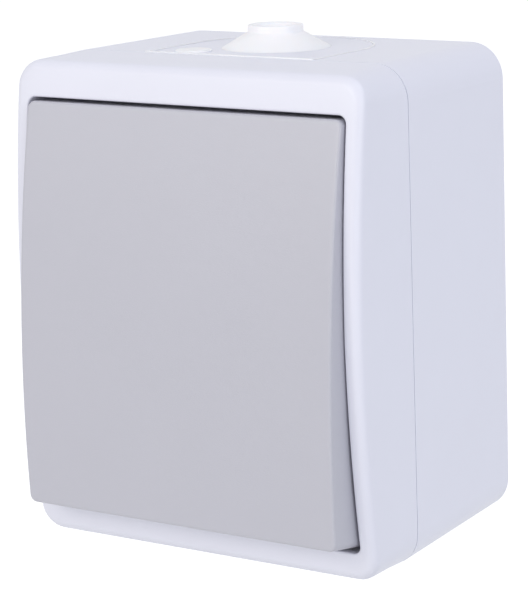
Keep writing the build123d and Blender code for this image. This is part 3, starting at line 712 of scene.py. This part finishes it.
def hat_loop(bm, share, inset=0.0):
    """A loop of the hat's wall, at a share of the way from its foot to its head."""
    width, height = [foot - taper * share - 2 * inset for foot, taper in zip(hat_foot, hat_taper)]
    depth = well_floor + share * (seal_head + skin - inset - well_floor)
    return turned(bm, loop(bm, width, height, hat_corner - inset, depth), share)


print("seal stands", round(seal_head + skin - well_floor, 2), "mm over the floor")

# %% Seal
bm = bmesh.new()
outside = [loop(bm, *brim, well_floor), loop(bm, *brim, well_floor + skin)]
outside += [hat_loop(bm, share) for share in wall_shares]
outside.append(turned(bm, loop(bm, *seal_top, seal_head + skin)))
within = [hat_loop(bm, share, skin) for share in (0.0, *wall_shares[1:], 1.0)]
bridged(bm, outside)
bridged(bm, within)
bridged(bm, [within[0], outside[0]])
peg_holes = [[turned(bm, ring(bm, peg_hole, x, depth, z, steps=20))
              for depth in (seal_head, seal_head + skin)] for x, z in pegs]
for hole in peg_holes:
    bridged(bm, hole)
filled(bm, within[-1], *[hole[0] for hole in peg_holes])
filled(bm, outside[-1], *[hole[1] for hole in peg_holes])
outward(bm)
seal = finished(bm, "bending_seal", None, "seal_rubber", "rocker_seal")
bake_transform(seal)

# %% Spring
bm = bmesh.new()
bm.from_mesh(nodes["plunger_spring"].data)
bmesh.ops.transform(bm, matrix=Matrix.Scale(1 / MM, 4) @ nodes["plunger_spring"].matrix_world, verts=bm.verts)
outward(bm)
spring = finished(bm, "closing_spring", "rocker_key", "spring_steel", "plunger_spring")
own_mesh(spring)

# %% [markdown]
# ## The cable entry
# A hard plate with straight sides and a round end slides into the top of the base. A soft white piece is
# moulded to it: the cone and the nipple that grip the cable, a lip at the seam, a narrow rim along the
# sides and round the end, a layer below the plate and a small round pip. The cone is a turned shape, so
# its half section is spun round the axis. All of the entry follows the base's top side, which falls by
# about one degree towards the wall, so its levels are typed as they are at the seam and sheared at the end.

# %% Sizes of the cable entry
entry_depth = 17.0
plate_half = 15.6
plate_front = 30.4
plate_top = 38.95
plate_thickness = 2.05
rim_room = 0.2
inner_half = plate_half - rim_room
soft_edge = 0.06
cone_foot = 8.7
pip_place = (-9, 27)
pip_radius = 2.9
hole_room = 0.1
top_fall = tan(radians(1.1))


def entry_loop(bm, half_width, front, level):
    """The plate's outline as level edges: straight to the front, round behind.

    The two rounds behind stop just short of each other, so that none of their points lie together.
    """
    earlier = set(bm.edges)
    corners = [bm.verts.new((x, -depth, level)) for x, depth in
               ((-half_width, front), (half_width, front), (half_width, entry_depth - half_width),
                (-half_width, entry_depth - half_width))]
    bm.faces.new(corners)
    rounded(bm, corners[2:], 0.999 * half_width, steps=20)
    return outline_since(bm, earlier)


def follow_the_top(bm):
    """Shears a piece so that it falls towards the wall as the base's top side does."""
    for vert in bm.verts:
        vert.co.z -= (seam + vert.co.y) * top_fall


print("the top falls", round(seam * top_fall, 2), "mm from the seam to the wall")

# %% Plate
bm = bmesh.new()
rows = [entry_loop(bm, inner_half, plate_front, level)
        for level in (plate_top - plate_thickness, plate_top - soft_edge)]
rows.append(entry_loop(bm, inner_half - soft_edge, plate_front - soft_edge, plate_top))
bridged(bm, rows)
holes = []
for radius, x, depth in ((cone_foot, 0, entry_depth), (pip_radius, *pip_place)):
    hole = [ring(bm, 2 * radius + hole_room, x, depth, level, steps=48, facing_up=True)
            for level in (plate_top - plate_thickness, plate_top)]
    bridged(bm, hole)
    holes.append(hole)
filled(bm, rows[0], *[hole[0] for hole in holes])
filled(bm, rows[-1], *[hole[1] for hole in holes])
outward(bm)
follow_the_top(bm)
finished(bm, "entry_plate", "housing", "entry_plate_white", "gland_plate")


# %% Soft cone, nipple and pip
def turned_solid(bm, section, x, depth, rounds):
    """Spins a half section, given as radius and height, round an upright axis.

    The rounds give some points of the section, by their number, and the radius that each one gets.
    """
    points = [bm.verts.new((x + radius, -depth, level)) for radius, level in section]
    for pair in zip(points, points[1:]):
        bm.edges.new(pair)
    for index, amount in rounds.items():
        rounded(bm, [points[index]], amount, steps=5)
    wire = [e for e in bm.edges if not e.link_faces]
    bmesh.ops.spin(bm, geom=points_of(wire) + wire, cent=(x, -depth, 0), axis=(0, 0, 1), dvec=(0, 0, 0),
                   angle=2 * pi, steps=72, use_merge=True, use_duplicate=False)


nipple_bore = 3.1
nipple_radius = 4.45
nipple_top = 42.58
shoulder = 4.9
cone_top = 41.3
cone_bottom = 36.2
foot_bore = 6.0
membrane = (37.5, 38.2)
pip_top = plate_top + 0.3
pip_bottom = 36.4
bm = bmesh.new()
turned_solid(bm, [(0, membrane[1]), (nipple_bore, membrane[1]), (nipple_bore, nipple_top),
                  (nipple_radius, nipple_top), (nipple_radius, cone_top + 0.1), (shoulder, cone_top - 0.1),
                  (cone_foot, plate_top), (cone_foot, cone_bottom), (foot_bore, cone_bottom),
                  (foot_bore, membrane[0]), (0, membrane[0])],
             0, entry_depth, rounds={2: 0.9, 3: 0.15, 4: 0.2, 5: 0.25})
turned_solid(bm, [(0, pip_top), (pip_radius, pip_top), (pip_radius, pip_bottom), (0, pip_bottom)],
             *pip_place, rounds={1: 0.2})
print("nipple stands", round(nipple_top - plate_top, 2), "mm over the plate")

# %% Soft lip, rim and layer below the plate
lip_rear, lip_front = 30.42, 31.02
lip_bottom, lip_top = 37.95, 39.18
lip_round = 0.12
rim_outside = plate_half + 0.1
rim_levels = (plate_top - 0.6, plate_top + 0.15)
layer_front = 30.38
layer_levels = (36.15, 36.85)
bar = block(bm, (2 * plate_half, lip_front - lip_rear, lip_top - lip_bottom),
            (0, -(lip_rear + lip_front) / 2, (lip_bottom + lip_top) / 2))
bar_edges = list(dict.fromkeys(e for v in bar for e in v.link_edges))
rounded(bm, bar_edges, lip_round, steps=3, kind="EDGES")
rim = [[entry_loop(bm, reach, plate_front + 0.05, level) for reach in (rim_outside, inner_half)]
       for level in rim_levels]
for lower, upper in zip(*rim):
    bridged(bm, [lower, upper])
for outer, inner in rim:
    filled(bm, outer, inner)
layer = [entry_loop(bm, plate_half, layer_front, level) for level in layer_levels]
bridged(bm, layer)
foot_room = [ring(bm, 2 * cone_foot, 0, entry_depth, level, steps=48, facing_up=True)
             for level in layer_levels]
bridged(bm, foot_room)
for outer, inner in zip(layer, foot_room):
    filled(bm, outer, inner)
outward(bm)
follow_the_top(bm)
finished(bm, "soft_entry", "housing", "gland_soft_white", "cable_gland")
